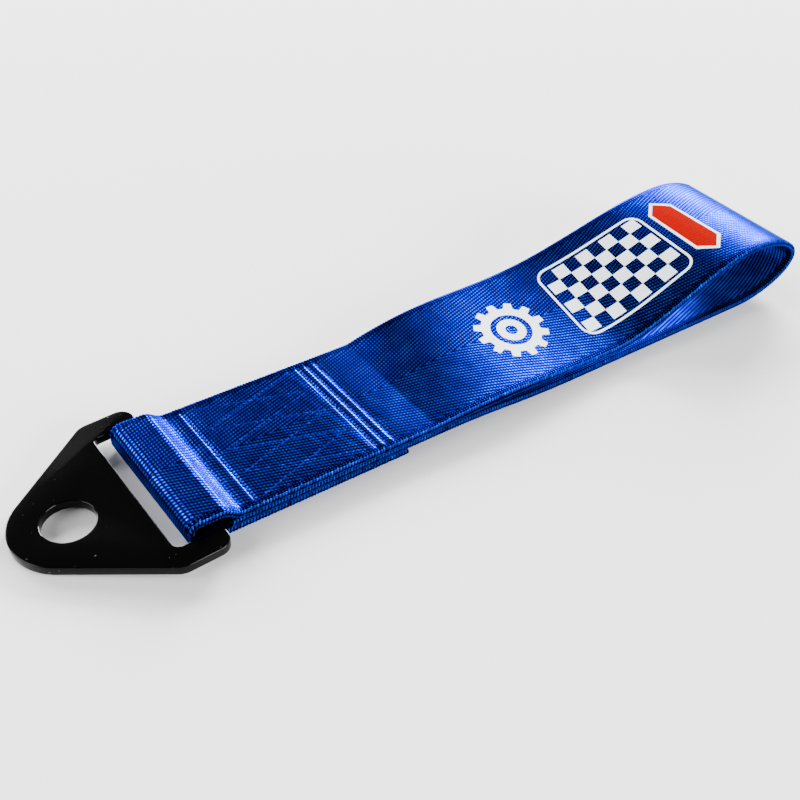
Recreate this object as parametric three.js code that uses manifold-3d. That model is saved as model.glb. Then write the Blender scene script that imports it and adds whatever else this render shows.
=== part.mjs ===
// Tow strap: a flat steel anchor plate carried in the sewn eye of a folded band of webbing.
// Millimetres, +Z up, +X from the plate to the free loop, Y across the webbing.
// The strap lies on the plane z = 0, with its box centred over the origin.

import * as THREE from 'three';
import { mergeVertices } from 'three/addons/utils/BufferGeometryUtils.js';
import Module from 'manifold-3d';

const wasm = await Module();
wasm.setup();

// Webbing
const webbingWidth = 50;
const webbingThickness = 2;
const layerGap = 0.1; // air left between two sewn layers

// Anchor plate
const plateThickness = 3;
const plateWidth = 67;
const plateEdgeRound = 0.4;
const apexRadius = 16.7;
const boltHoleDiameter = 15.4;
const boltHoleToBase = 33.5; // from the centre of the bolt hole to the straight base edge
const baseCornerRadius = 4.5;
const shoulderRadius = 6;
const shoulderToBase = 13.7; // from the centre of the shoulder's round to the base edge
const barWidth = 7.5; // the steel between the slot and the base edge
const slotOpening = 6.9;
const slotSideClearance = 1.2; // beside each edge of the webbing
const slotCornerRadius = 1.9;

// Eye of the webbing around the bar
const barRestHeight = 3; // the middle of the bar's underside, above the floor
const eyeInnerHeight = 5.1;
const eyeCornerRadius = 1.4; // inside of the webbing's turn
const barToWebbing = 0.4;
const eyeCrownLength = 4; // level top of the eye, past the bar's middle
const eyeSlopeLength = 7.2; // from the crown down to the first row of stitches

// Sewn part, where three layers lie on each other
const sewnLength = 52.3; // from the first row of stitches to the last
const tailPastSeam = 3.6;
const innerEndBeforeSeam = 4.7; // the inner cut end reaches a little way into the eye

// Stitching: rows across the webbing, with a zigzag between them
const threadWidth = 1;
const threadThickness = 0.4;
const threadGap = 0.3;
const threadRecess = 0.1; // below the face of the webbing
const stitchEdgeMargin = 3.2; // from the webbing's edge to the end of a row
const nearRowCount = 2;
const nearRowSpacing = 4.8;
const farRowCount = 3;
const farRowSpacing = 3.3;
const zigzagStrokes = 4; // in each of the two zigzags
const zigzagInset = 3; // from the neighbouring rows to the zigzag's turns

// Free loop. Its two edges have their own lines, because the loop stands a little twisted.
const loopLength = 178; // from the last row of stitches to the outer end of the loop
const tipHeight = 13; // of the webbing's middle line at the outer end
const releaseLength = 14; // straight run after the last row, before the layers part
const touchdownLength = 73; // from the last row to where the lower layer reaches the floor
const footToTip = 27;
const nearEdge = {
  crestBack: 22, // from the loop's outer end back to its highest point
  crestHeight: 24.3, // top of the webbing there
  kneeBack: 88, // from the outer end back to where the top layer lifts off steeply
  kneeHeight: 5.7,
  kneeSlope: 0,
  bellyHeight: 7.3, // of the gentle run between the sewn part and the knee
};
const farEdge = {
  crestBack: 24,
  crestHeight: 25.1,
  kneeBack: 83.5,
  kneeHeight: 14.6,
  kneeSlope: 0.15,
  bellyHeight: 14.2,
};

// Places that follow from the sizes. The bar's middle is at x = 0 until the last step.
const layerPitch = webbingThickness + layerGap;
const tailLevel = webbingThickness / 2;
const innerLevel = tailLevel + layerPitch;
const topLevel = innerLevel + layerPitch;
const sewnHeight = topLevel + webbingThickness / 2;
const seamStart = eyeCrownLength + eyeSlopeLength;
const seamEnd = seamStart + sewnLength;
const tipX = seamEnd + loopLength - webbingThickness / 2;
const apexToBar = apexRadius + boltHoleToBase - barWidth / 2;
const plateTilt = Math.asin(barRestHeight / apexToBar);

function pointAt(x, z) {
  return new THREE.Vector2(x, z);
}

function bezier(start, startHandle, endHandle, end) {
  return new THREE.CubicBezierCurve(start, startHandle, endHandle, end);
}

// Lower layer: from the inner cut end to the foot of the loop.
function lowerLayerCurves() {
  const innerEnd = pointAt(seamStart - innerEndBeforeSeam, innerLevel);
  const release = pointAt(seamEnd + releaseLength, innerLevel);
  const touchdown = pointAt(seamEnd + touchdownLength, tailLevel);
  const handle = (touchdown.x - release.x) / 2;
  const foot = pointAt(tipX - footToTip, tailLevel);
  return [
    { curve: new THREE.LineCurve(innerEnd, release), steps: 4 },
    {
      curve: bezier(
        release,
        pointAt(release.x + handle, release.y),
        pointAt(touchdown.x - handle, touchdown.y),
        touchdown,
      ),
      steps: 8,
    },
    { curve: new THREE.LineCurve(touchdown, foot), steps: 4 },
  ];
}

// Round end and top layer of the loop, back to the sewn part, along one edge.
function upperLayerCurves(edge) {
  const halfThickness = webbingThickness / 2;
  const foot = pointAt(tipX - footToTip, tailLevel);
  const tip = pointAt(tipX, tipHeight);
  const crest = pointAt(tipX - edge.crestBack, edge.crestHeight - halfThickness);
  const knee = pointAt(tipX - edge.kneeBack, edge.kneeHeight - halfThickness);
  const release = pointAt(seamEnd + releaseLength, topLevel);
  const rise = crest.x - knee.x;
  const belly = knee.x - release.x;
  const bellyLevel = edge.bellyHeight - halfThickness;
  return [
    {
      curve: bezier(
        foot,
        pointAt(foot.x + 0.55 * footToTip, foot.y),
        pointAt(tip.x, tip.y - 0.5 * (tip.y - foot.y)),
        tip,
      ),
      steps: 12,
    },
    {
      curve: bezier(
        tip,
        pointAt(tip.x, tip.y + 0.55 * (crest.y - tip.y)),
        pointAt(crest.x + 0.45 * edge.crestBack, crest.y),
        crest,
      ),
      steps: 12,
    },
    {
      curve: bezier(
        crest,
        pointAt(crest.x - rise / 3, crest.y),
        pointAt(knee.x + rise / 3, knee.y + (edge.kneeSlope * rise) / 3),
        knee,
      ),
      steps: 16,
    },
    {
      curve: bezier(
        knee,
        pointAt(knee.x - belly / 3, knee.y - (edge.kneeSlope * belly) / 3 + (bellyLevel - knee.y) / 2),
        pointAt(release.x + belly / 3, bellyLevel - edge.kneeSlope * belly * 0.1),
        release,
      ),
      steps: 12,
    },
  ];
}

// Sewn top layer, the turn round the bar, and the tail under it.
function eyeCurves() {
  const release = pointAt(seamEnd + releaseLength, topLevel);
  const seam = pointAt(seamStart, topLevel);
  const crownLevel = 1.5 * webbingThickness + eyeInnerHeight;
  const crown = pointAt(eyeCrownLength, crownLevel);
  const turnRadius = eyeCornerRadius + webbingThickness / 2;
  const turnX = -barWidth / 2 - barToWebbing + eyeCornerRadius;
  const upperTurn = pointAt(turnX, crownLevel - turnRadius);
  const lowerTurn = pointAt(turnX, tailLevel + turnRadius);
  const tailEnd = pointAt(seamEnd + tailPastSeam, tailLevel);
  return [
    { curve: new THREE.LineCurve(release, seam), steps: 4 },
    {
      curve: bezier(
        seam,
        pointAt(seam.x - 0.45 * eyeSlopeLength, seam.y),
        pointAt(crown.x + 0.4 * eyeSlopeLength, crown.y),
        crown,
      ),
      steps: 8,
    },
    { curve: new THREE.LineCurve(crown, pointAt(turnX, crownLevel)), steps: 1 },
    {
      curve: new THREE.EllipseCurve(
        upperTurn.x, upperTurn.y, turnRadius, turnRadius, Math.PI / 2, Math.PI),
      steps: 6,
    },
    {
      curve: new THREE.LineCurve(
        pointAt(turnX - turnRadius, upperTurn.y), pointAt(turnX - turnRadius, lowerTurn.y)),
      steps: 1,
    },
    {
      curve: new THREE.EllipseCurve(
        lowerTurn.x, lowerTurn.y, turnRadius, turnRadius, Math.PI, 1.5 * Math.PI),
      steps: 6,
    },
    { curve: new THREE.LineCurve(pointAt(turnX, tailLevel), tailEnd), steps: 4 },
  ];
}

// Stations along one edge of the webbing: place on the middle line and normal to it.
function stationsAlong(edge) {
  const runs = [...lowerLayerCurves(), ...upperLayerCurves(edge), ...eyeCurves()];
  const stations = [];
  runs.forEach(({ curve, steps }, run) => {
    const first = run === 0 ? 0 : 1;
    for (let step = first; step <= steps; step += 1) {
      const place = curve.getPoint(step / steps);
      const tangent = curve.getTangent(step / steps);
      stations.push({ place, normal: pointAt(-tangent.y, tangent.x) });
    }
  });
  return stations;
}

// A straight band, bent along the two edge lines.
function bentBand() {
  const near = stationsAlong(nearEdge);
  const far = stationsAlong(farEdge);
  const steps = near.length - 1;
  const band = new THREE.BoxGeometry(1, webbingWidth, webbingThickness, steps, 2, 1);
  const position = band.attributes.position;
  for (let i = 0; i < position.count; i += 1) {
    const station = Math.round((position.getX(i) + 0.5) * steps);
    const across = position.getY(i);
    const share = across / webbingWidth + 0.5;
    const place = near[station].place.clone().lerp(far[station].place, share);
    const normal = near[station].normal.clone().lerp(far[station].normal, share).normalize();
    place.addScaledVector(normal, position.getZ(i));
    position.setXYZ(i, place.x, across, place.y);
  }
  return band;
}

function toManifold(geometry) {
  const bare = geometry.clone();
  bare.deleteAttribute('normal');
  bare.deleteAttribute('uv');
  const merged = mergeVertices(bare, 1e-4);
  return new wasm.Manifold(new wasm.Mesh({
    numProp: 3,
    vertProperties: Float32Array.from(merged.attributes.position.array),
    triVerts: Uint32Array.from(merged.index.array),
  }));
}

function toGeometry(solid) {
  const mesh = solid.getMesh();
  const geometry = new THREE.BufferGeometry();
  geometry.setAttribute('position', new THREE.BufferAttribute(mesh.vertProperties, 3));
  geometry.setIndex(new THREE.BufferAttribute(mesh.triVerts, 1));
  geometry.computeVertexNormals();
  return geometry;
}

// The two seams of the stitching, seen from above: each is a set of rows and one of the crossing zigzags.
function stitchPaths() {
  const reach = webbingWidth / 2 - stitchEdgeMargin;
  const zigzagStart = seamStart + (nearRowCount - 1) * nearRowSpacing + zigzagInset;
  const zigzagEnd = seamEnd - (farRowCount - 1) * farRowSpacing - zigzagInset;
  const rows = (xs) => xs.flatMap((x, i) => {
    const side = i % 2 === 0 ? 1 : -1;
    return [pointAt(x, side * reach), pointAt(x, -side * reach)];
  });
  const zigzag = (first, second, side) => {
    const turns = [];
    for (let stroke = 0; stroke <= zigzagStrokes; stroke += 1) {
      const across = side * reach * (1 - (2 * stroke) / zigzagStrokes);
      turns.push(pointAt(stroke % 2 === 0 ? first : second, across));
    }
    return turns;
  };
  const nearXs = Array.from({ length: nearRowCount }, (_, row) => seamStart + row * nearRowSpacing);
  const farXs = Array.from({ length: farRowCount }, (_, row) => seamEnd - row * farRowSpacing);
  const nearSide = nearRowCount % 2 === 0 ? 1 : -1;
  const farSide = farRowCount % 2 === 0 ? 1 : -1;
  return [
    [...rows(nearXs), ...zigzag(zigzagStart, zigzagEnd, nearSide)],
    [...rows(farXs), ...zigzag(zigzagEnd, zigzagStart, farSide)],
  ];
}

// Flat ribbons along the stitch paths, from the height bottom up to top.
function stitchRibbon(width, bottom, top) {
  const height = top - bottom;
  const middle = (top + bottom) / 2;
  let ribbon = null;
  const join = (geometry) => {
    const solid = toManifold(geometry);
    ribbon = ribbon ? ribbon.add(solid) : solid;
  };
  stitchPaths().forEach((path) => path.forEach((start, i) => {
    const corner = new THREE.CylinderGeometry(width / 2, width / 2, height, 12);
    corner.rotateX(Math.PI / 2);
    corner.translate(start.x, start.y, middle);
    join(corner);
    if (i === path.length - 1) return;
    const run = path[i + 1].clone().sub(start);
    const leg = new THREE.BoxGeometry(run.length(), width, height);
    leg.rotateZ(run.angle());
    leg.translate(start.x + run.x / 2, start.y + run.y / 2, middle);
    join(leg);
  }));
  return ribbon;
}

const grooveWidth = threadWidth + 2 * threadGap;
const grooveDepth = threadRecess + threadThickness + threadGap;

function webbingGeometry() {
  const topGroove = stitchRibbon(grooveWidth, sewnHeight - grooveDepth, sewnHeight + threadGap);
  const bottomGroove = stitchRibbon(grooveWidth, -threadGap, grooveDepth);
  return toGeometry(toManifold(bentBand()).subtract(topGroove).subtract(bottomGroove));
}

function topStitchingGeometry() {
  const top = sewnHeight - threadRecess;
  return toGeometry(stitchRibbon(threadWidth, top - threadThickness, top));
}

function bottomStitchingGeometry() {
  return toGeometry(stitchRibbon(threadWidth, threadRecess, threadRecess + threadThickness));
}

// Outline of the plate, with the bolt hole at (0, 0) and the base edge at +X.
function plateOutline() {
  const half = plateWidth / 2;
  const shoulder = pointAt(boltHoleToBase - shoulderToBase, half - shoulderRadius);
  const cornerX = boltHoleToBase - baseCornerRadius;
  const cornerY = half - baseCornerRadius;
  const lean = Math.acos((apexRadius - shoulderRadius) / shoulder.length());
  const sideAngle = shoulder.angle() + lean;
  const outline = new THREE.Shape();
  outline.absarc(0, 0, apexRadius, sideAngle, 2 * Math.PI - sideAngle, false);
  outline.absarc(shoulder.x, -shoulder.y, shoulderRadius, -sideAngle, -Math.PI / 2, false);
  outline.absarc(cornerX, -cornerY, baseCornerRadius, -Math.PI / 2, 0, false);
  outline.absarc(cornerX, cornerY, baseCornerRadius, 0, Math.PI / 2, false);
  outline.absarc(shoulder.x, shoulder.y, shoulderRadius, Math.PI / 2, sideAngle, false);
  outline.closePath();
  return outline;
}

function slotOutline() {
  const right = boltHoleToBase - barWidth;
  const left = right - slotOpening;
  const reach = webbingWidth / 2 + slotSideClearance;
  const round = slotCornerRadius;
  const slot = new THREE.Path();
  slot.absarc(right - round, reach - round, round, 0, Math.PI / 2, false);
  slot.absarc(left + round, reach - round, round, Math.PI / 2, Math.PI, false);
  slot.absarc(left + round, -reach + round, round, Math.PI, 1.5 * Math.PI, false);
  slot.absarc(right - round, -reach + round, round, 1.5 * Math.PI, 2 * Math.PI, false);
  slot.closePath();
  return slot;
}

function plateGeometry() {
  const outline = plateOutline();
  const hole = new THREE.Path();
  hole.absarc(0, 0, boltHoleDiameter / 2, 0, 2 * Math.PI, true);
  outline.holes.push(hole, slotOutline());
  const plate = new THREE.ExtrudeGeometry(outline, {
    depth: plateThickness - 2 * plateEdgeRound,
    bevelEnabled: true,
    bevelThickness: plateEdgeRound,
    bevelSize: plateEdgeRound,
    bevelOffset: -plateEdgeRound,
    bevelSegments: 2,
    curveSegments: 10,
  });
  plate.translate(barWidth / 2 - boltHoleToBase, 0, plateEdgeRound);
  return plate;
}

const webbingMaterial = new THREE.MeshStandardMaterial({ color: 0x1a46c8, roughness: 0.55, metalness: 0 });
const threadMaterial = new THREE.MeshStandardMaterial({ color: 0x16306e, roughness: 0.6, metalness: 0 });
const plateMaterial = new THREE.MeshStandardMaterial({ color: 0x0b0b0c, roughness: 0.28, metalness: 0 });

function namedMesh(name, geometry, material) {
  const mesh = new THREE.Mesh(geometry, material);
  mesh.name = name;
  return mesh;
}

const strap = new THREE.Group();
strap.add(namedMesh('webbing', webbingGeometry(), webbingMaterial));
strap.add(namedMesh('top_stitching', topStitchingGeometry(), threadMaterial));
strap.add(namedMesh('bottom_stitching', bottomStitchingGeometry(), threadMaterial.clone()));

// The plate leans on its apex, with its bar held up in the eye.
const anchorPlate = namedMesh('anchor_plate', plateGeometry(), plateMaterial);
anchorPlate.position.set(0, 0, barRestHeight);
anchorPlate.rotation.y = -plateTilt;

const towStrap = new THREE.Group();
towStrap.add(strap, anchorPlate);
const apexX = -apexToBar * Math.cos(plateTilt) - plateThickness * Math.sin(plateTilt);
towStrap.position.x = -(apexX + tipX + webbingThickness / 2) / 2;

export default towStrap;
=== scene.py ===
# Tow strap: webbing, stitching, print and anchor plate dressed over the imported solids.
# Lengths are named in millimetres and turned into metres when a mesh is made.

import math

import bmesh
import bpy
import numpy as np
from mathutils import Matrix, Vector
from mathutils.geometry import tessellate_polygon

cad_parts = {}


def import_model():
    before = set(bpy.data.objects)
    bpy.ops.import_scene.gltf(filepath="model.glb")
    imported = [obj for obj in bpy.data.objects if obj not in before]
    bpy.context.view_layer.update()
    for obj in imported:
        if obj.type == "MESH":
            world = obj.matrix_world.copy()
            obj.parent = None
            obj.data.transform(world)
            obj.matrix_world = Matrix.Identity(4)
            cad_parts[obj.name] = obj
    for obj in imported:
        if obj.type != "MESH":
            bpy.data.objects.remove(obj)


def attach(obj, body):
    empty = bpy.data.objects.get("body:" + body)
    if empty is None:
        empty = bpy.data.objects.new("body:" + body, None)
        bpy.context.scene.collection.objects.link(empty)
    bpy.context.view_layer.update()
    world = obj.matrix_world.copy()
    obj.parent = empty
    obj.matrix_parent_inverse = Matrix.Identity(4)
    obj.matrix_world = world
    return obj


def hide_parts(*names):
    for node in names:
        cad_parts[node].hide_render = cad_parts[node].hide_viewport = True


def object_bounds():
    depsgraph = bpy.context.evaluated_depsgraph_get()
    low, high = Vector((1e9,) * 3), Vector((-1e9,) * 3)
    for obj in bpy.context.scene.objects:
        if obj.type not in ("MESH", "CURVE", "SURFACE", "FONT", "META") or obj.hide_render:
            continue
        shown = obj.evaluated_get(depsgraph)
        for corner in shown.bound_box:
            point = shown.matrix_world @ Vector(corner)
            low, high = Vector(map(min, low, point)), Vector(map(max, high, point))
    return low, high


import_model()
cad_low, cad_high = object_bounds()

MM = 0.001

# Webbing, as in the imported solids
WIDTH = 50.0
THICK = 2.0
LAYER_GAP = 0.1
BAR_WIDTH = 7.5
BAR_REST_HEIGHT = 3.0
EYE_INNER_HEIGHT = 5.1
EYE_CORNER_RADIUS = 1.4
BAR_TO_WEBBING = 0.4
EYE_CROWN = 4.0
EYE_SLOPE = 7.2
SEWN_LENGTH = 52.3
TAIL_PAST_SEAM = 3.6
INNER_END_BEFORE_SEAM = 4.7
LOOP_LENGTH = 178.0
TIP_HEIGHT = 13.0
RELEASE = 14.0
TOUCHDOWN = 73.0
FOOT_TO_TIP = 27.0
NEAR_EDGE = {"crest_back": 22, "crest": 24.3, "knee_back": 88, "knee": 5.7, "slope": 0.0, "belly": 7.3}
FAR_EDGE = {"crest_back": 24, "crest": 25.1, "knee_back": 83.5, "knee": 14.6, "slope": 0.15, "belly": 14.2}

# Anchor plate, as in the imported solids
PLATE_THICK = 3.0
PLATE_WIDTH = 67.0
PLATE_EDGE = 0.4
APEX_RADIUS = 16.7
HOLE_RADIUS = 7.7
HOLE_TO_BASE = 33.5
BASE_CORNER = 4.5
SHOULDER_RADIUS = 6.0
SHOULDER_TO_BASE = 13.7
SLOT_OPENING = 6.9
SLOT_SIDE = 1.2
SLOT_CORNER = 1.9
APEX_STEPS, SHOULDER_STEPS, CORNER_STEPS = 64, 20, 16
HOLE_STEPS, SLOT_CORNER_STEPS = 96, 10
EDGE_ROUND_STEPS = 4
SHARP_ABOVE = math.radians(40)
PLATE_JOIN = 0.001

PITCH = THICK + LAYER_GAP
TAIL_LEVEL = THICK / 2
INNER_LEVEL = TAIL_LEVEL + PITCH
TOP_LEVEL = INNER_LEVEL + PITCH
SEAM_START = EYE_CROWN + EYE_SLOPE
SEAM_END = SEAM_START + SEWN_LENGTH
TIP_X = SEAM_END + LOOP_LENGTH - THICK / 2
RELEASE_X = SEAM_END + RELEASE

# The bar's middle is at x = 0 above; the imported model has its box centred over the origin.
BAR_X = (cad_high.x / MM) - (TIP_X + THICK / 2)

# Weave: one pick every PICK along the webbing, twill lines TWILL apart across it
PICK = 1.02
TWILL = 1.25
TWILL_SLOPE = 0.3
TWILL_MIDDLE = 0.2
FLOAT_LEAN = 1.3
INNER_RIBS, NEAR_RIBS, FAR_RIBS = 0.85, 0.4, 0.15
SELVEDGE_WIDTH = 2.6
SELVEDGE_RIB = 0.85
SELVEDGE_BLEND = 0.2
FIBRE_STRETCH = (1.6, 9.0, 1.0)

# Length of each curve's handle, as a share of the step that it spans
FOOT_HANDLE, TIP_HANDLE_BELOW, TIP_HANDLE_ABOVE, CREST_HANDLE = 0.55, 0.5, 0.55, 0.45
SEAM_HANDLE, CROWN_HANDLE, RELEASE_DROP = 0.45, 0.4, 0.1

# Distance between the webbing's stations along it
FLOOR_STEP = 1.5
TIP_STEP = 0.8
UPPER_STEP = 1.2
SEWN_STEP = 0.45
EYE_STEP = 0.4
TAIL_STEP = 0.6

# The webbing's section
COLUMNS = 60
EDGE_STEPS = 6
OUTER_FACE_BELOW = -0.2

# Seam's rows and zigzags
STITCH_MARGIN = 3.2
NEAR_ROWS = 2
NEAR_ROW_SPACING = 4.8
FAR_ROWS = 3
FAR_ROW_SPACING = 3.3
ZIGZAG_INSET = 3.0
ZIGZAG_STROKES = 4

# Dents of the seam in the outer face, and the slack wave of the upper layer between seam and tip
ROW_DEPTH, ROW_REACH = 0.5, 0.5
ZIGZAG_DEPTH, ZIGZAG_REACH = 0.1, 0.5
PUCKER_DEPTH, PUCKER_REACH = 0.12, 2.2
RIPPLE_DEPTH, RIPPLE_PITCH, RIPPLE_SLANT = 0.02, 3.7, 0.25
DENTS_PAST_SEAM = 6.0
WAVE_START, WAVE_END, WAVE_HEIGHT = 72.0, 168.0, 0.7

# Stitches: short threads that dip into the webbing at their ends
STITCH_LENGTH = 1.9
STITCH_RADIUS = 0.36
STITCH_POINTS = 7
STITCH_GAP_SHARE = 0.04
STITCH_DIP = 0.45
STITCH_LEAN = 0.09
STITCH_SEED = 7
ZIGZAG_THREAD_RADIUS = 0.2
ZIGZAG_THREAD_RAISE = 0.04

# Round tubes of the stitches and the beads
TUBE_SIDES = 6

# Selvedge beads: angles round the edge in degrees, from straight out
BEAD_RADIUS = 0.36
BEAD_SLANT = 0.28
BEAD_PHASE = 0.75
BEAD_POINTS = 5
BEAD_SWELL = (0.6, 0.95, 1.0, 0.95, 0.6)
BEAD_SUNK = 0.2
OUTER_BEAD, OUTER_DASH = (-75, -20), (-100, -20)
INNER_BEAD, INNER_DASH = (15, 70), (-5, 80)
DASH_EVERY = 4

# Print: places are (distance from the bar, place across)
FILM_OUT, FILM_IN = 0.06, -0.1
FILM_STEP = 1.5
FILM_JOIN = 1e-4
FILM_SHARP_ABOVE = math.radians(50)
RED_LIFT = 0.03
COG_CENTRE = (126.5, -1.0)
COG_ROOT, COG_TIP, COG_TEETH, COG_OPENING = 10.6, 13.2, 12, 7.4
TOOTH_ROOT, TOOTH_TIP = 0.3, 0.19
CIRCLE_STEPS, HUB_OPENING_STEPS, PANEL_CORNER_STEPS = 64, 32, 6
HUB_RADIUS, HUB_OPENING = 5.2, 2.2
PANEL_START, PANEL_END, PANEL_LOW, PANEL_HIGH = 149.0, 197.5, -16.5, 17.0
PANEL_CORNER, PANEL_LINE, PANEL_INSET = 5.0, 0.9, 2.0
CHECK_COLUMNS, CHECK_ROWS = 8, 6
BADGE_CENTRE = (206.6, 0.4)
BADGE_HALF_X, BADGE_HALF_Y, BADGE_TAPER = 5.7, 17.2, 5.2
RED_HALF_X, RED_HALF_Y, RED_TAPER = 4.6, 15.6, 4.4


def bezier(a, b, c, d, t):
    t = t[:, None]
    u = 1 - t
    return a * u**3 + 3 * b * u**2 * t + 3 * c * u * t**2 + d * t**3


def bezier_run(a, b, c, d):
    a, b, c, d = (np.array(p, float) for p in (a, b, c, d))
    return lambda t: bezier(a, b, c, d, t)


def line_run(a, b):
    a, b = np.array(a, float), np.array(b, float)
    return lambda t: a + (b - a) * t[:, None]


def arc_run(centre, radius, start, end):
    def run(t):
        angle = start + (end - start) * t
        return np.array(centre) + radius * np.stack([np.cos(angle), np.sin(angle)], 1)
    return run


def webbing_runs(edge):
    """The webbing's middle line along one edge, in the XZ plane, with the spacing of its stations."""
    half = THICK / 2
    inner_end = (SEAM_START - INNER_END_BEFORE_SEAM, INNER_LEVEL)
    release_low = (RELEASE_X, INNER_LEVEL)
    touchdown = (SEAM_END + TOUCHDOWN, TAIL_LEVEL)
    handle = (touchdown[0] - RELEASE_X) / 2
    foot = (TIP_X - FOOT_TO_TIP, TAIL_LEVEL)
    tip = (TIP_X, TIP_HEIGHT)
    crest = (TIP_X - edge["crest_back"], edge["crest"] - half)
    knee = (TIP_X - edge["knee_back"], edge["knee"] - half)
    rise, belly = crest[0] - knee[0], knee[0] - RELEASE_X
    belly_level, slope = edge["belly"] - half, edge["slope"]
    release_top = (RELEASE_X, TOP_LEVEL)
    seam = (SEAM_START, TOP_LEVEL)
    crown_level = 1.5 * THICK + EYE_INNER_HEIGHT
    crown = (EYE_CROWN, crown_level)
    turn = EYE_CORNER_RADIUS + half
    turn_x = -BAR_WIDTH / 2 - BAR_TO_WEBBING + EYE_CORNER_RADIUS
    return [
        (line_run(inner_end, release_low), FLOOR_STEP),
        (bezier_run(release_low, (RELEASE_X + handle, INNER_LEVEL),
                    (touchdown[0] - handle, TAIL_LEVEL), touchdown), FLOOR_STEP),
        (line_run(touchdown, foot), FLOOR_STEP),
        (bezier_run(foot, (foot[0] + FOOT_HANDLE * FOOT_TO_TIP, foot[1]),
                    (tip[0], tip[1] - TIP_HANDLE_BELOW * (tip[1] - foot[1])), tip), TIP_STEP),
        (bezier_run(tip, (tip[0], tip[1] + TIP_HANDLE_ABOVE * (crest[1] - tip[1])),
                    (crest[0] + CREST_HANDLE * edge["crest_back"], crest[1]), crest), TIP_STEP),
        (bezier_run(crest, (crest[0] - rise / 3, crest[1]),
                    (knee[0] + rise / 3, knee[1] + slope * rise / 3), knee), UPPER_STEP),
        (bezier_run(knee, (knee[0] - belly / 3, knee[1] - slope * belly / 3 + (belly_level - knee[1]) / 2),
                    (RELEASE_X + belly / 3, belly_level - slope * belly * RELEASE_DROP),
                    release_top), UPPER_STEP),
        (line_run(release_top, seam), SEWN_STEP),
        (bezier_run(seam, (seam[0] - SEAM_HANDLE * EYE_SLOPE, seam[1]),
                    (crown[0] + CROWN_HANDLE * EYE_SLOPE, crown[1]), crown), EYE_STEP),
        (line_run(crown, (turn_x, crown_level)), EYE_STEP),
        (arc_run((turn_x, crown_level - turn), turn, math.pi / 2, math.pi), EYE_STEP),
        (line_run((turn_x - turn, crown_level - turn), (turn_x - turn, TAIL_LEVEL + turn)), EYE_STEP),
        (arc_run((turn_x, TAIL_LEVEL + turn), turn, math.pi, 1.5 * math.pi), EYE_STEP),
        (line_run((turn_x, TAIL_LEVEL), (SEAM_END + TAIL_PAST_SEAM, TAIL_LEVEL)), TAIL_STEP),
    ]


RUN_NAMES = ["inner", "release", "floor", "tip_low", "tip_high", "rise", "belly",
             "sewn_top", "eye_slope", "eye_crown", "eye_turn", "eye_front", "eye_under", "tail"]


class Band:
    """The folded webbing: at(s, y, h) gives the place of a point of the flat webbing.
    s runs along it from the hidden cut end, y across it, and h through it, outward at minus."""

    def __init__(self):
        near_runs, far_runs = webbing_runs(NEAR_EDGE), webbing_runs(FAR_EDGE)
        near, far, self.starts = [], [], {}
        count = 0
        for (near_run, spacing), (far_run, _), name in zip(near_runs, far_runs, RUN_NAMES):
            probe = near_run(np.linspace(0, 1, 50))
            length = np.linalg.norm(np.diff(probe, axis=0), axis=1).sum()
            steps = max(2, round(length / spacing))
            t = np.linspace(0, 1, steps + 1)[0 if not near else 1:]
            self.starts[name] = max(0, count - 1)
            near.append(near_run(t))
            far.append(far_run(t))
            count += len(t)
        self.near, self.far = np.concatenate(near), np.concatenate(far)
        mean = (self.near + self.far) / 2
        self.s = np.concatenate([[0], np.cumsum(np.linalg.norm(np.diff(mean, axis=0), axis=1))])
        self.mean_x = mean[:, 0]
        self.near_normal, self.far_normal = self.normals(self.near), self.normals(self.far)

    @staticmethod
    def normals(line):
        tangent = np.gradient(line, axis=0)
        tangent /= np.linalg.norm(tangent, axis=1)[:, None]
        return np.stack([-tangent[:, 1], tangent[:, 0]], 1)

    def start(self, name):
        return self.s[self.starts[name]]

    def column(self, s, values):
        return np.stack([np.interp(s, self.s, values[:, 0]), np.interp(s, self.s, values[:, 1])], -1)

    def at(self, s, y, h):
        s, y, h = np.broadcast_arrays(np.asarray(s, float), np.asarray(y, float), np.asarray(h, float))
        share = (y / WIDTH + 0.5)[..., None]
        place = self.column(s, self.near) * (1 - share) + self.column(s, self.far) * share
        normal = self.column(s, self.near_normal) * (1 - share) + self.column(s, self.far_normal) * share
        normal /= np.linalg.norm(normal, axis=-1)[..., None]
        place = place + normal * h[..., None]
        return np.stack([(place[..., 0] + BAR_X) * MM, y * MM, place[..., 1] * MM], -1)

    def top_s(self, x):
        """s of the printed face at a distance x from the bar, on the top layer."""
        first, last = self.starts["rise"], self.starts["eye_crown"]
        xs, ss = self.mean_x[first:last + 1], self.s[first:last + 1]
        return np.interp(-np.asarray(x, float), -xs, ss)

    def tail_s(self, x):
        first = self.starts["tail"]
        return np.interp(np.asarray(x, float), self.mean_x[first:], self.s[first:])


band = Band()


def stitch_lines():
    """Straight runs of the seam, seen from above: rows, and a lattice of two zigzags between them."""
    reach = WIDTH / 2 - STITCH_MARGIN
    rows = [SEAM_START + k * NEAR_ROW_SPACING for k in range(NEAR_ROWS)]
    rows += [SEAM_END - k * FAR_ROW_SPACING for k in range(FAR_ROWS)]
    lines = [((x, -reach), (x, reach)) for x in rows]
    left = SEAM_START + (NEAR_ROWS - 1) * NEAR_ROW_SPACING + ZIGZAG_INSET
    right = SEAM_END - (FAR_ROWS - 1) * FAR_ROW_SPACING - ZIGZAG_INSET
    zigzags = []
    for first, second in ((left, right), (right, left)):
        ends = [(first if k % 2 == 0 else second, -reach + 2 * reach * k / ZIGZAG_STROKES)
                for k in range(ZIGZAG_STROKES + 1)]
        zigzags += list(zip(ends[:-1], ends[1:]))
    return lines, zigzags


ROW_LINES, ZIGZAG_LINES = stitch_lines()


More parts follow.
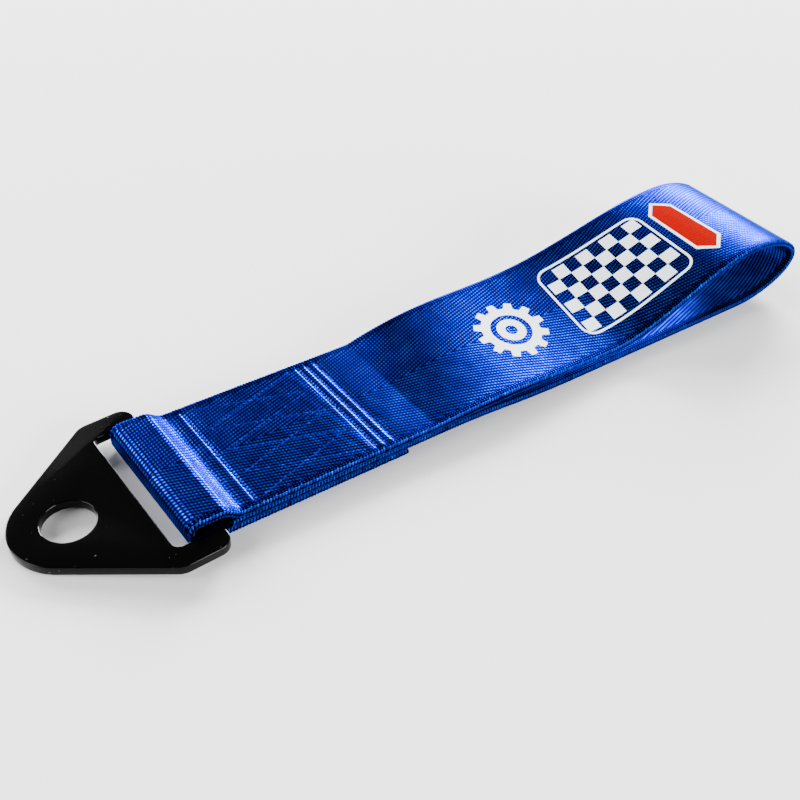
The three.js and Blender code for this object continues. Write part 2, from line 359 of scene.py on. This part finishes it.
def distance_to(line, x, y):
    (ax, ay), (bx, by) = line
    dx, dy = bx - ax, by - ay
    t = np.clip(((x - ax) * dx + (y - ay) * dy) / (dx * dx + dy * dy), 0, 1)
    return np.hypot(x - ax - t * dx, y - ay - t * dy)


def seam_dent(x, y):
    """How far the seam pulls the webbing's outer face in."""
    row = np.min([distance_to(line, x, y) for line in ROW_LINES], axis=0)
    zigzag = np.min([distance_to(line, x, y) for line in ZIGZAG_LINES], axis=0)
    dent = ROW_DEPTH * np.exp(-(row / ROW_REACH) ** 2)
    dent = np.maximum(dent, ZIGZAG_DEPTH * np.exp(-(zigzag / ZIGZAG_REACH) ** 2))
    ripple = RIPPLE_DEPTH * (1 - np.cos(2 * np.pi * x / RIPPLE_PITCH + RIPPLE_SLANT * y))
    ripple = ripple * (x > SEAM_START) * (x < SEAM_END)
    return dent + PUCKER_DEPTH * np.exp(-(row / PUCKER_REACH) ** 2) + ripple


def outer_dent(s, y):
    """How far the outer face lies in: the seam's dents, above and below, and the upper layer's wave."""
    x = np.interp(s, band.s, band.mean_x)
    sewn = (s >= band.start("belly")) & (s <= band.start("eye_crown")) | (s >= band.start("tail"))
    close = sewn & (x > SEAM_START - DENTS_PAST_SEAM) & (x < SEAM_END + DENTS_PAST_SEAM)
    dent = np.zeros(np.broadcast(s, y).shape)
    dent[close] = seam_dent(x[close], np.broadcast_to(y, dent.shape)[close])
    upper = (s > band.start("rise")) & (s < band.start("sewn_top")) & (x > WAVE_START) & (x < WAVE_END)
    share = (x - WAVE_START) / (WAVE_END - WAVE_START)
    return dent - upper * WAVE_HEIGHT * np.sin(2 * np.pi * share) * np.sin(np.pi * share)


def make_object(name, points, faces, cloth=None):
    """A smooth mesh. cloth gives each point its s, y and h on the flat webbing, in millimetres."""
    mesh = bpy.data.meshes.new(name)
    mesh.from_pydata([tuple(p) for p in points], [], [tuple(f) for f in faces])
    if cloth is not None:
        layer = mesh.attributes.new("cloth", "FLOAT_VECTOR", "POINT")
        layer.data.foreach_set("vector", np.asarray(cloth, np.float32).ravel())
    mesh.update()
    mesh.polygons.foreach_set("use_smooth", [True] * len(mesh.polygons))
    obj = bpy.data.objects.new(name, mesh)
    bpy.context.scene.collection.objects.link(obj)
    return obj


def dress(obj, material, body):
    obj.data.materials.clear()
    obj.data.materials.append(material)
    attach(obj, body)
    return obj


def band_section():
    """The webbing's section as (y, h) round its outline, with rounded edges."""
    bulge = THICK / 2
    flat = WIDTH / 2 - bulge
    ys = np.linspace(-flat, flat, COLUMNS + 1)
    outer = [(y, -bulge) for y in ys]
    angles = np.linspace(-math.pi / 2, math.pi / 2, EDGE_STEPS + 1)[1:-1]
    far = [(flat + bulge * math.cos(a), bulge * math.sin(a)) for a in angles]
    inner = [(y, bulge) for y in ys[::-1]]
    near = [(-flat - bulge * math.cos(a), bulge * math.sin(a)) for a in angles[::-1]]
    return np.array(outer + far + inner + near)


def build_webbing():
    section = band_section()
    n, m = len(band.s), len(section)
    s = np.repeat(band.s[:, None], m, 1)
    y = np.repeat(section[None, :, 0], n, 0)
    h = np.repeat(section[None, :, 1], n, 0)
    dent = outer_dent(s, y) * (h < OUTER_FACE_BELOW)
    points = band.at(s, y, h + dent).reshape(-1, 3)
    cloth = np.stack([s, y, h], -1).reshape(-1, 3)
    faces = []
    for i in range(n - 1):
        for j in range(m):
            k = (j + 1) % m
            faces.append((i * m + j, (i + 1) * m + j, (i + 1) * m + k, i * m + k))
    faces.append(tuple(range(m)))
    faces.append(tuple((n - 1) * m + j for j in reversed(range(m))))
    return make_object("webbing_band", points, faces, cloth)


def tube(points, radius):
    """A round tube along points (metres), with closed ends. Gives vertices and faces."""
    sides = TUBE_SIDES
    points = np.asarray(points, float)
    tangent = np.gradient(points, axis=0)
    tangent /= np.linalg.norm(tangent, axis=1)[:, None] + 1e-12
    up = np.array([0.0, 0.0, 1.0])
    if abs(tangent[0] @ up) > 0.9:
        up = np.array([1.0, 0.0, 0.0])
    verts, faces = [], []
    radii = np.broadcast_to(radius, len(points))
    side_dir = np.cross(tangent[0], up)
    for place, along, r in zip(points, tangent, radii):
        side_dir = side_dir - along * (side_dir @ along)
        side_dir /= np.linalg.norm(side_dir)
        other = np.cross(along, side_dir)
        for k in range(sides):
            angle = 2 * math.pi * k / sides
            verts.append(place + r * (math.cos(angle) * side_dir + math.sin(angle) * other))
    last = (len(points) - 1) * sides
    for first in range(0, last, sides):
        for k in range(sides):
            after = (k + 1) % sides
            faces.append((first + k, first + after, first + sides + after, first + sides + k))
    faces.append(tuple(reversed(range(sides))))
    faces.append(tuple(last + k for k in range(sides)))
    return np.array(verts), faces


def join_tubes(name, tubes, cloth=None):
    """One object of many tubes. cloth gives one mark for each tube."""
    points, faces, marks, base = [], [], [], 0
    for index, (verts, tube_faces) in enumerate(tubes):
        points.append(verts)
        faces += [tuple(base + v for v in f) for f in tube_faces]
        if cloth is not None:
            marks.append(np.repeat(np.array(cloth[index], float)[None], len(verts), 0))
        base += len(verts)
    marks = np.concatenate(marks) if cloth is not None else None
    return make_object(name, np.concatenate(points), faces, marks)


def build_selvedge(side):
    """The weft's turns at one edge: a bead for each pick at the outer and at the inner arris.
    Every few picks one of them is a longer dash."""
    flat = WIDTH / 2 - THICK / 2
    reach = THICK / 2 - BEAD_SUNK
    turns, marks = [], []
    for k in range(int(band.s[-1] / PICK) - 1):
        s = (k + BEAD_PHASE) * PICK
        outer = OUTER_DASH if k % DASH_EVERY == 2 else OUTER_BEAD
        inner = INNER_DASH if k % DASH_EVERY == 0 else INNER_BEAD
        for row, (low, high) in enumerate((outer, inner)):
            angles = np.radians(np.linspace(low, high, BEAD_POINTS))
            along = s + (0.5 * row + BEAD_SLANT * np.linspace(-1, 1, BEAD_POINTS)) * PICK
            y = side * (flat + reach * np.cos(angles))
            h = reach * np.sin(angles)
            dent = outer_dent(along, y) * (h < OUTER_FACE_BELOW)
            turns.append(tube(band.at(along, y, h + dent), np.array(BEAD_SWELL) * BEAD_RADIUS * MM))
            marks.append((s, side * WIDTH / 2, 0.5 + 0.5 * ((k + 2 * row) % DASH_EVERY == 0)))
    name = "selvedge_far" if side > 0 else "selvedge_near"
    return join_tubes(name, turns, marks)


def build_stitching(name, s_at):
    """One row of short threads after another. s_at gives s on the sewn face for a distance from the bar."""
    draw = np.random.default_rng(STITCH_SEED)
    threads = []
    for lines, radius, lift in ((ROW_LINES, STITCH_RADIUS, 0.0),
                                (ZIGZAG_LINES, ZIGZAG_THREAD_RADIUS, ZIGZAG_THREAD_RAISE)):
        for (ax, ay), (bx, by) in lines:
            length = math.hypot(bx - ax, by - ay)
            count = max(1, round(length / STITCH_LENGTH))
            for k in range(count):
                t = (k + np.linspace(STITCH_GAP_SHARE, 1 - STITCH_GAP_SHARE, STITCH_POINTS)) / count
                lean = np.linspace(*draw.normal(0, STITCH_LEAN, 2), STITCH_POINTS)
                x = ax + (bx - ax) * t + lean * (by - ay) / length
                y = ay + (by - ay) * t - lean * (bx - ax) / length
                top = np.sin(np.linspace(0, math.pi, STITCH_POINTS)) ** 0.7
                s = s_at(x)
                h = -THICK / 2 + outer_dent(s, y) - lift + STITCH_DIP * (1 - top)
                threads.append(tube(band.at(s, y, h), radius * MM))
    return join_tubes(name, threads)


# Materials

NYLON_TINT = (0.03, 0.3, 1.0, 1)
SEAM_BLEND = 4.0
# Painted shade on the sewn part, where the puckered seam breaks up the sheen.
SEWN_PAINTED_SHADE = 0.02


def new_material(name):
    material = bpy.data.materials.new(name)
    material.use_nodes = True
    nodes, links = material.node_tree.nodes, material.node_tree.links
    nodes.clear()
    output = nodes.new("ShaderNodeOutputMaterial")
    shader = nodes.new("ShaderNodeBsdfPrincipled")
    links.new(shader.outputs[0], output.inputs[0])
    return material, nodes, links, shader


class Graph:
    """Small helpers that add one node each and link what they are given."""

    def __init__(self, nodes, links):
        self.nodes, self.links = nodes, links

    def put(self, socket, value):
        if isinstance(value, bpy.types.NodeSocket):
            self.links.new(value, socket)
        else:
            socket.default_value = value

    def math(self, operation, a, b=0.0):
        node = self.nodes.new("ShaderNodeMath")
        node.operation = operation
        self.put(node.inputs[0], a)
        self.put(node.inputs[1], b)
        return node.outputs[0]

    def add(self, a, b):
        return self.math("ADD", a, b)

    def minus(self, a, b):
        return self.math("SUBTRACT", a, b)

    def times(self, a, b):
        return self.math("MULTIPLY", a, b)

    def cloth(self):
        """s, y and h of the flat webbing, in millimetres."""
        node = self.nodes.new("ShaderNodeAttribute")
        node.attribute_name = "cloth"
        split = self.nodes.new("ShaderNodeSeparateXYZ")
        self.links.new(node.outputs["Vector"], split.inputs[0])
        return node.outputs["Vector"], split.outputs[0], split.outputs[1], split.outputs[2]

    def noise(self, vector, scale, detail=2.0, stretch=None):
        if stretch is not None:
            mapping = self.nodes.new("ShaderNodeMapping")
            mapping.inputs["Scale"].default_value = stretch
            self.links.new(vector, mapping.inputs["Vector"])
            vector = mapping.outputs[0]
        node = self.nodes.new("ShaderNodeTexNoise")
        self.put(node.inputs["Vector"], vector)
        node.inputs["Scale"].default_value = scale
        node.inputs["Detail"].default_value = detail
        return node.outputs["Fac"]

    def ramp(self, factor, stops):
        node = self.nodes.new("ShaderNodeValToRGB")
        elements = node.color_ramp.elements
        while len(elements) < len(stops):
            elements.new(0.5)
        for element, (place, colour) in zip(elements, stops):
            element.position = place
            element.color = (*colour, 1)
        self.put(node.inputs[0], factor)
        return node.outputs[0]

    def mix(self, factor, a, b):
        node = self.nodes.new("ShaderNodeMix")
        node.data_type = "RGBA"
        self.put(node.inputs["Factor"], factor)
        self.put(node.inputs[6], a)
        self.put(node.inputs[7], b)
        return node.outputs[2]

    def smooth(self, value, low, high):
        node = self.nodes.new("ShaderNodeMapRange")
        node.interpolation_type = "SMOOTHSTEP"
        for socket, v in zip(node.inputs[:3], (value, low, high)):
            self.put(socket, v)
        return node.outputs[0]

    def bump(self, height, strength, distance):
        node = self.nodes.new("ShaderNodeBump")
        node.inputs["Strength"].default_value = strength
        node.inputs["Distance"].default_value = distance
        self.put(node.inputs["Height"], height)
        return node.outputs[0]


def arch(graph, share, power):
    """1 in the middle of a yarn and 0 at its sides."""
    off = graph.math("ABSOLUTE", graph.minus(graph.times(share, 2.0), 1.0))
    return graph.minus(1.0, graph.math("POWER", off, power))


# Besides the bump, this relief drives the colour: the webbing's gaps get painted shade and its crowns a
# painted highlight, and the print's gaps get painted shade.
def float_height(graph, s, y, h):
    """The weave's relief from 0 to 1: floats stepped along a twill that mirrors at the middle.
    They run together into ribs on the inner face, and a little on the near half."""
    pick = graph.math("DIVIDE", s, PICK)
    column = graph.math("FLOOR", pick)
    in_column = graph.minus(pick, column)
    across = graph.math("ABSOLUTE", graph.add(y, TWILL_MIDDLE))
    rows = graph.math("DIVIDE", across, TWILL)
    step = TWILL_SLOPE * PICK / TWILL
    stepped = graph.add(rows, graph.times(graph.add(column, graph.times(in_column, FLOAT_LEAN)), step))
    dots = graph.times(arch(graph, graph.math("FRACT", stepped), 2.0), arch(graph, in_column, 2.5))
    ribs = arch(graph, graph.math("FRACT", graph.add(rows, graph.times(pick, step))), 2.0)
    inner = graph.smooth(h, 0.0, 0.5)
    near = graph.smooth(graph.times(y, -1.0), 0.0, 0.4)
    share = graph.math("MAXIMUM", graph.times(inner, INNER_RIBS),
                       graph.add(graph.times(near, NEAR_RIBS - FAR_RIBS), FAR_RIBS))
    return graph.add(graph.times(ribs, share), graph.times(dots, graph.minus(1.0, share)))


def silky(graph, shader):
    """The nylon's sheen: a blue gloss, wide across the webbing and narrow along it."""
    shader.inputs["Metallic"].default_value = 0.85
    shader.inputs["Specular IOR Level"].default_value = 0.0
    shader.inputs["Specular Tint"].default_value = NYLON_TINT
    shader.inputs["Anisotropic"].default_value = 0.88
    across = graph.nodes.new("ShaderNodeCombineXYZ")
    across.inputs[1].default_value = 1.0
    graph.links.new(across.outputs[0], shader.inputs["Tangent"])


def wave(graph, value, pitch):
    """A sine of the value with the given pitch."""
    return graph.math("SINE", graph.times(value, 2 * math.pi / pitch))


def selvedge_height(graph, s, y):
    """The edge's finer relief: picks crossed by narrow ribs."""
    picks = graph.times(graph.add(wave(graph, s, PICK), 1.0), 0.5)
    ribs = graph.add(0.5, graph.times(wave(graph, y, SELVEDGE_RIB), 0.5))
    return graph.times(picks, ribs)


def webbing_material():
    material, nodes, links, shader = new_material("blue_nylon_weave")
    graph = Graph(nodes, links)
    vector, s, y, h = graph.cloth()
    body_half = WIDTH / 2 - SELVEDGE_WIDTH
    edge = graph.smooth(graph.math("ABSOLUTE", y), body_half - SELVEDGE_BLEND, body_half)
    height = graph.add(graph.times(float_height(graph, s, y, h), graph.minus(1.0, edge)),
                       graph.times(selvedge_height(graph, s, y), edge))
    fibre = graph.noise(vector, 1.0, 3.0, FIBRE_STRETCH)
    patch = graph.noise(vector, 0.16, 2.0)
    # Tone: the weave relief, which paints shade into the gaps and a highlight onto the floats' crowns, plus
    # random fibre and patch tone.
    tone = graph.add(graph.times(height, 0.75), graph.times(fibre, 0.35))
    tone = graph.add(tone, graph.times(graph.minus(patch, 0.5), 0.2))
    # Painted shade: the sewn part's tone is lowered a little, standing in for the shade where the puckered
    # seam breaks up the sheen.
    blend = (float(band.top_s(SEAM_END + SEAM_BLEND)), float(band.top_s(SEAM_END - SEAM_BLEND)))
    sewn = graph.smooth(s, *blend)
    tone = graph.minus(tone, graph.times(sewn, SEWN_PAINTED_SHADE))
    # Near black at the bottom is painted shade in the gaps; the pale blue at the top is a painted highlight.
    colour = graph.ramp(tone, [(0.42, (0.0, 0.0, 0.002)), (0.62, (0.0, 0.0002, 0.045)),
                               (0.84, (0.0, 0.008, 0.32)), (1.0, (0.015, 0.24, 1.0))])
    links.new(colour, shader.inputs["Base Color"])
    links.new(graph.add(0.22, graph.times(fibre, 0.16)), shader.inputs["Roughness"])
    silky(graph, shader)
    relief = graph.add(height, graph.times(fibre, 0.18))
    links.new(graph.bump(relief, 1.0, 0.06 * MM), shader.inputs["Normal"])
    return material


def selvedge_material():
    material, nodes, links, shader = new_material("blue_nylon_selvedge")
    graph = Graph(nodes, links)
    vector, _, _, turn = graph.cloth()
    fibre = graph.noise(vector, 1.0, 2.0, (3.0, 1.0, 1.0))
    tone = graph.add(graph.times(turn, 0.12), graph.times(fibre, 0.8))
    colour = graph.ramp(tone, [(0.25, (0.0, 0.0, 0.02)), (0.6, (0.0, 0.03, 0.4)), (0.9, (0.01, 0.3, 1.0))])
    links.new(colour, shader.inputs["Base Color"])
    shader.inputs["Roughness"].default_value = 0.38
    silky(graph, shader)
    return material


def object_coordinates(graph):
    node = graph.nodes.new("ShaderNodeTexCoord")
    return node.outputs["Object"]


def thread_material():
    material, nodes, links, shader = new_material("dark_blue_thread")
    graph = Graph(nodes, links)
    place = object_coordinates(graph)
    twist = graph.noise(place, 900.0, 3.0)
    colour = graph.ramp(twist, [(0.3, (0.0, 0.0005, 0.03)), (0.75, (0.0, 0.02, 0.28))])
    links.new(colour, shader.inputs["Base Color"])
    shader.inputs["Roughness"].default_value = 0.4
    shader.inputs["Metallic"].default_value = 0.8
    shader.inputs["Specular IOR Level"].default_value = 0.0
    shader.inputs["Specular Tint"].default_value = NYLON_TINT
    links.new(graph.bump(twist, 0.5, 0.1 * MM), shader.inputs["Normal"])
    return material


def plate_material():
    material, nodes, links, shader = new_material("gloss_black_powder_coat")
    graph = Graph(nodes, links)
    place = object_coordinates(graph)
    peel = graph.noise(place, 420.0, 2.0)
    dust = graph.smooth(graph.noise(place, 900.0, 1.0), 0.77, 0.8)
    colour = graph.mix(dust, (0.0008, 0.0008, 0.0009, 1), (0.05, 0.05, 0.055, 1))
    links.new(colour, shader.inputs["Base Color"])
    smear = graph.noise(place, 60.0, 3.0)
    links.new(graph.add(0.07, graph.times(smear, 0.07)), shader.inputs["Roughness"])
    links.new(graph.bump(peel, 0.1, 0.03 * MM), shader.inputs["Normal"])
    shader.inputs["Specular IOR Level"].default_value = 0.12
    return material


def print_material(name, base, gap_shade_and_wear, roughness):
    material, nodes, links, shader = new_material(name)
    graph = Graph(nodes, links)
    vector, s, y, h = graph.cloth()
    relief = float_height(graph, s, y, h)
    wear = graph.noise(vector, 1.6, 4.0)
    # The weave's relief paints shade into the print's gaps; the wear noise adds a random worn tone.
    tone = graph.add(graph.times(relief, 0.45), graph.times(wear, 0.9))
    colour = graph.ramp(tone, [(0.25, gap_shade_and_wear), (0.75, base)])
    links.new(colour, shader.inputs["Base Color"])
    shader.inputs["Roughness"].default_value = roughness
    shader.inputs["Specular IOR Level"].default_value = 0.0
    links.new(graph.bump(relief, 0.3, 0.06 * MM), shader.inputs["Normal"])
    return material


# Anchor plate

def arc_points(centre, radius, start, end, steps):
    return [(centre[0] + radius * math.cos(start + (end - start) * k / steps),
             centre[1] + radius * math.sin(start + (end - start) * k / steps)) for k in range(steps + 1)]


def circle(centre, radius, steps):
    return arc_points(centre, radius, 0, 2 * math.pi, steps)[:-1]


def rounded_box(x0, y0, x1, y1, radius, steps):
    points = []
    for x, y, quarter in ((x1, y1, 0), (x0, y1, 1), (x0, y0, 2), (x1, y0, 3)):
        centre = (x - math.copysign(radius, x - (x0 + x1) / 2), y - math.copysign(radius, y - (y0 + y1) / 2))
        points += arc_points(centre, radius, quarter * math.pi / 2, (quarter + 1) * math.pi / 2, steps)
    return points


def plate_outline():
    """The plate's outline with the bolt hole at (0, 0) and the base edge at +X, in millimetres."""
    half = PLATE_WIDTH / 2
    shoulder = (HOLE_TO_BASE - SHOULDER_TO_BASE, half - SHOULDER_RADIUS)
    reach = math.hypot(*shoulder)
    side = math.atan2(shoulder[1], shoulder[0]) + math.acos((APEX_RADIUS - SHOULDER_RADIUS) / reach)
    corner = (HOLE_TO_BASE - BASE_CORNER, half - BASE_CORNER)
    quarter = math.pi / 2
    points = arc_points((0, 0), APEX_RADIUS, side, 2 * math.pi - side, APEX_STEPS)
    points += arc_points((shoulder[0], -shoulder[1]), SHOULDER_RADIUS, -side, -quarter, SHOULDER_STEPS)
    points += arc_points((corner[0], -corner[1]), BASE_CORNER, -quarter, 0, CORNER_STEPS)
    points += arc_points(corner, BASE_CORNER, 0, quarter, CORNER_STEPS)
    points += arc_points(shoulder, SHOULDER_RADIUS, quarter, side, SHOULDER_STEPS)
    return points[:-1]


def slot_outline():
    right = HOLE_TO_BASE - BAR_WIDTH
    reach = WIDTH / 2 + SLOT_SIDE
    return rounded_box(right - SLOT_OPENING, -reach, right, reach, SLOT_CORNER, SLOT_CORNER_STEPS)


def closed_spline(curve, points):
    spline = curve.splines.new("POLY")
    spline.points.add(len(points) - 1)
    for target, (x, y) in zip(spline.points, points):
        target.co = (x * MM, y * MM, 0, 1)
    spline.use_cyclic_u = True


def build_plate():
    curve = bpy.data.curves.new("plate_profile", "CURVE")
    curve.dimensions, curve.fill_mode = "2D", "BOTH"
    closed_spline(curve, plate_outline())
    closed_spline(curve, circle((0, 0), HOLE_RADIUS, HOLE_STEPS))
    closed_spline(curve, slot_outline())
    curve.bevel_depth = PLATE_EDGE * MM
    curve.bevel_resolution = EDGE_ROUND_STEPS
    curve.extrude = (PLATE_THICK / 2 - PLATE_EDGE) * MM
    curve.offset = -PLATE_EDGE * MM
    source = bpy.data.objects.new("plate_source", curve)
    bpy.context.scene.collection.objects.link(source)
    bpy.context.view_layer.update()
    mesh = bpy.data.meshes.new_from_object(source)
    bpy.data.objects.remove(source)
    bpy.data.curves.remove(curve)
    tilt = math.asin(BAR_REST_HEIGHT / (APEX_RADIUS + HOLE_TO_BASE - BAR_WIDTH / 2))
    place = (Matrix.Translation((BAR_X * MM, 0, BAR_REST_HEIGHT * MM)) @ Matrix.Rotation(-tilt, 4, "Y")
             @ Matrix.Translation(((BAR_WIDTH / 2 - HOLE_TO_BASE) * MM, 0, PLATE_THICK / 2 * MM)))
    mesh.transform(place)
    work = bmesh.new()
    work.from_mesh(mesh)
    bmesh.ops.remove_doubles(work, verts=work.verts, dist=PLATE_JOIN * MM)
    bmesh.ops.recalc_face_normals(work, faces=work.faces)
    work.to_mesh(mesh)
    work.free()
    mesh.polygons.foreach_set("use_smooth", [True] * len(mesh.polygons))
    mesh.set_sharp_from_angle(angle=SHARP_ABOVE)
    obj = bpy.data.objects.new("coated_plate", mesh)
    bpy.context.scene.collection.objects.link(obj)
    return obj


# Print on the loop's upper face

def cog_shape(centre, inner, outer, teeth):
    points = []
    tooth = ((-TOOTH_ROOT, inner), (-TOOTH_TIP, outer), (TOOTH_TIP, outer), (TOOTH_ROOT, inner))
    for k in range(teeth):
        for share, radius in tooth:
            angle = 2 * math.pi * (k + share) / teeth
            points.append((centre[0] + radius * math.cos(angle), centre[1] + radius * math.sin(angle)))
    return points


def tapered_bar(centre, half_x, half_y, taper):
    """A bar across the webbing that comes to a point at both ends."""
    x, y = centre
    return [(x - half_x, y - half_y + taper), (x, y - half_y), (x + half_x, y - half_y + taper),
            (x + half_x, y + half_y - taper), (x, y + half_y), (x - half_x, y + half_y - taper)]


def build_film(name, shapes, lift=0.0):
    """A thin film on the webbing. Each shape is an outline followed by its holes."""
    work = bmesh.new()
    for outlines in shapes:
        flat = [[Vector((x, y, 0)) for x, y in outline] for outline in outlines]
        verts = [work.verts.new(p) for outline in flat for p in outline]
        for tri in tessellate_polygon(flat):
            work.faces.new([verts[i] for i in tri])
    xs = [v.co.x for v in work.verts]
    ys = [v.co.y for v in work.verts]
    for low, high, axis in ((min(xs), max(xs), 0), (min(ys), max(ys), 1)):
        for k in range(1, math.ceil((high - low) / FILM_STEP)):
            place, normal = Vector((0, 0, 0)), Vector((0, 0, 0))
            place[axis], normal[axis] = low + k * FILM_STEP, 1
            bmesh.ops.bisect_plane(work, geom=work.verts[:] + work.edges[:] + work.faces[:],
                                   dist=FILM_JOIN, plane_co=place, plane_no=normal)
    bmesh.ops.remove_doubles(work, verts=work.verts, dist=FILM_JOIN)
    bmesh.ops.recalc_face_normals(work, faces=work.faces)
    for face in work.faces:
        if face.normal.z < 0:
            face.normal_flip()
    work.verts.index_update()
    flat = np.array([(v.co.x, v.co.y) for v in work.verts])
    faces = [tuple(v.index for v in face.verts) for face in work.faces]
    rims = [(edge.link_loops[0].vert.index, edge.link_loops[0].link_loop_next.vert.index)
            for edge in work.edges if edge.is_boundary]
    work.free()
    s, y, n = band.top_s(flat[:, 0]), flat[:, 1], len(flat)
    level = outer_dent(s, y) - THICK / 2
    points = np.concatenate([band.at(s, y, level - FILM_OUT - lift), band.at(s, y, level - FILM_IN)])
    cloth = np.concatenate([np.stack([s, y, np.full(n, -THICK / 2)], -1)] * 2)
    faces += [tuple(n + i for i in reversed(face)) for face in faces]
    faces += [(b, a, n + a, n + b) for a, b in rims]
    obj = make_object(name, points, faces, cloth)
    obj.data.set_sharp_from_angle(angle=FILM_SHARP_ABOVE)
    return obj


def print_shapes():
    """The white shapes and the red bar: a toothed wheel, a chequered panel and a rimmed bar."""
    wheel = cog_shape(COG_CENTRE, COG_ROOT, COG_TIP, COG_TEETH)
    hub = circle(COG_CENTRE, HUB_RADIUS, CIRCLE_STEPS)
    white = [[wheel, circle(COG_CENTRE, COG_OPENING, CIRCLE_STEPS)],
             [hub, circle(COG_CENTRE, HUB_OPENING, HUB_OPENING_STEPS)]]
    outside = rounded_box(PANEL_START, PANEL_LOW, PANEL_END, PANEL_HIGH, PANEL_CORNER, PANEL_CORNER_STEPS)
    inside = rounded_box(PANEL_START + PANEL_LINE, PANEL_LOW + PANEL_LINE, PANEL_END - PANEL_LINE,
                         PANEL_HIGH - PANEL_LINE, PANEL_CORNER - PANEL_LINE, PANEL_CORNER_STEPS)
    white.append([outside, inside])
    cell_x = (PANEL_END - PANEL_START - 2 * PANEL_INSET) / CHECK_COLUMNS
    cell_y = (PANEL_HIGH - PANEL_LOW - 2 * PANEL_INSET) / CHECK_ROWS
    for i in range(CHECK_COLUMNS):
        for j in range(i % 2, CHECK_ROWS, 2):
            x0, y0 = PANEL_START + PANEL_INSET + i * cell_x, PANEL_LOW + PANEL_INSET + j * cell_y
            white.append([[(x0, y0), (x0 + cell_x, y0), (x0 + cell_x, y0 + cell_y), (x0, y0 + cell_y)]])
    white.append([tapered_bar(BADGE_CENTRE, BADGE_HALF_X, BADGE_HALF_Y, BADGE_TAPER)])
    return white, tapered_bar(BADGE_CENTRE, RED_HALF_X, RED_HALF_Y, RED_TAPER)


# Pieces

webbing = dress(build_webbing(), webbing_material(), "strap")
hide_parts("webbing")
selvedge = selvedge_material()
edges = [dress(build_selvedge(side), selvedge, "strap") for side in (-1, 1)]
thread = thread_material()
top_stitches = dress(build_stitching("top_threads", band.top_s), thread, "strap")
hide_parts("top_stitching")
bottom_stitches = dress(build_stitching("bottom_threads", band.tail_s), thread, "strap")
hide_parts("bottom_stitching")
white_shapes, red_bar = print_shapes()
# Each print's second colour is painted shade in the weave's gaps, and a worn tone where the wear noise is
# low.
white_print = print_material("white_print", (0.86, 0.89, 0.95), (0.6, 0.64, 0.74), 0.6)
red_print = print_material("red_print", (0.3, 0.0, 0.0), (0.2, 0.0, 0.0), 0.9)
films = [dress(build_film("white_film", white_shapes), white_print, "strap"),
         dress(build_film("red_film", [[red_bar]], RED_LIFT), red_print, "strap")]
plate = dress(build_plate(), plate_material(), "plate")
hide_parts("anchor_plate")


# Floor, light and camera

FLOOR_HALF = 6.0
FLOOR_GREY = 0.74

# The camera was fitted to the photograph; its focal length is in pixels of a square frame.
FOCAL_PIXELS, FRAME_PIXELS, SENSOR_WIDTH = 1154.3, 800, 36
CAMERA_PLACE = Vector((-0.1925, -0.2281, 0.2311))
CAMERA_YAW, CAMERA_PITCH, CAMERA_ROLL = (math.radians(a) for a in (37.8, 38.98, 3.26))


def floor():
    corners = [(x * FLOOR_HALF, y * FLOOR_HALF, 0) for x, y in ((-1, -1), (1, -1), (1, 1), (-1, 1))]
    mesh = bpy.data.meshes.new("floor")
    mesh.from_pydata(corners, [], [(0, 1, 2, 3)])
    obj = bpy.data.objects.new("floor", mesh)
    bpy.context.scene.collection.objects.link(obj)
    material, _, _, shader = new_material("pale_floor")
    shader.inputs["Base Color"].default_value = (FLOOR_GREY, FLOOR_GREY, FLOOR_GREY, 1)
    shader.inputs["Roughness"].default_value = 0.9
    shader.inputs["Specular IOR Level"].default_value = 0.0
    obj.data.materials.append(material)


def area_light(name, toward, distance, size, power):
    """An oblong light that shines on the strap from a direction (azimuth from +X, elevation), in degrees."""
    azimuth, elevation = (math.radians(a) for a in toward)
    place = Vector((math.cos(azimuth) * math.cos(elevation), math.sin(azimuth) * math.cos(elevation),
                    math.sin(elevation))) * distance
    light = bpy.data.lights.new(name, "AREA")
    light.shape, light.size, light.size_y = "RECTANGLE", *size
    light.energy = power
    obj = bpy.data.objects.new(name, light)
    obj.location = place
    obj.rotation_euler = (-place).to_track_quat("-Z", "Y").to_euler()
    bpy.context.scene.collection.objects.link(obj)


def camera():
    forward = Vector((math.sin(CAMERA_YAW) * math.cos(CAMERA_PITCH),
                      math.cos(CAMERA_YAW) * math.cos(CAMERA_PITCH), -math.sin(CAMERA_PITCH)))
    right = Vector((math.cos(CAMERA_YAW), -math.sin(CAMERA_YAW), 0))
    up = right.cross(forward)
    c, s = math.cos(CAMERA_ROLL), math.sin(CAMERA_ROLL)
    axes = (right * c + up * s, up * c - right * s, -forward)
    data = bpy.data.cameras.new("photo_camera")
    data.lens = FOCAL_PIXELS / FRAME_PIXELS * SENSOR_WIDTH
    data.sensor_width, data.clip_start = SENSOR_WIDTH, 0.01
    obj = bpy.data.objects.new("photo_camera", data)
    obj.matrix_world = Matrix.Translation(CAMERA_PLACE) @ Matrix(axes).transposed().to_4x4()
    bpy.context.scene.collection.objects.link(obj)
    bpy.context.scene.camera = obj


def world(colour, strength):
    scene_world = bpy.data.worlds.new("studio")
    scene_world.use_nodes = True
    background = scene_world.node_tree.nodes["Background"]
    background.inputs[0].default_value = colour
    background.inputs[1].default_value = strength
    bpy.context.scene.world = scene_world


floor()
camera()
world((1, 1, 1, 1), 0.07)

# The sheen is narrow along the webbing, so a light's azimuth picks the slopes that it brightens.
area_light("back", (39, 16), 3.0, (1.45, 0.9), 620)
area_light("right", (14, 26), 3.0, (2.2, 2.2), 20)
area_light("far_side", (97, 18), 2.5, (1.8, 1.2), 260)
area_light("left", (160, 28), 2.5, (2.0, 1.4), 110)
area_light("front", (300, 14), 2.5, (1.8, 1.0), 240)
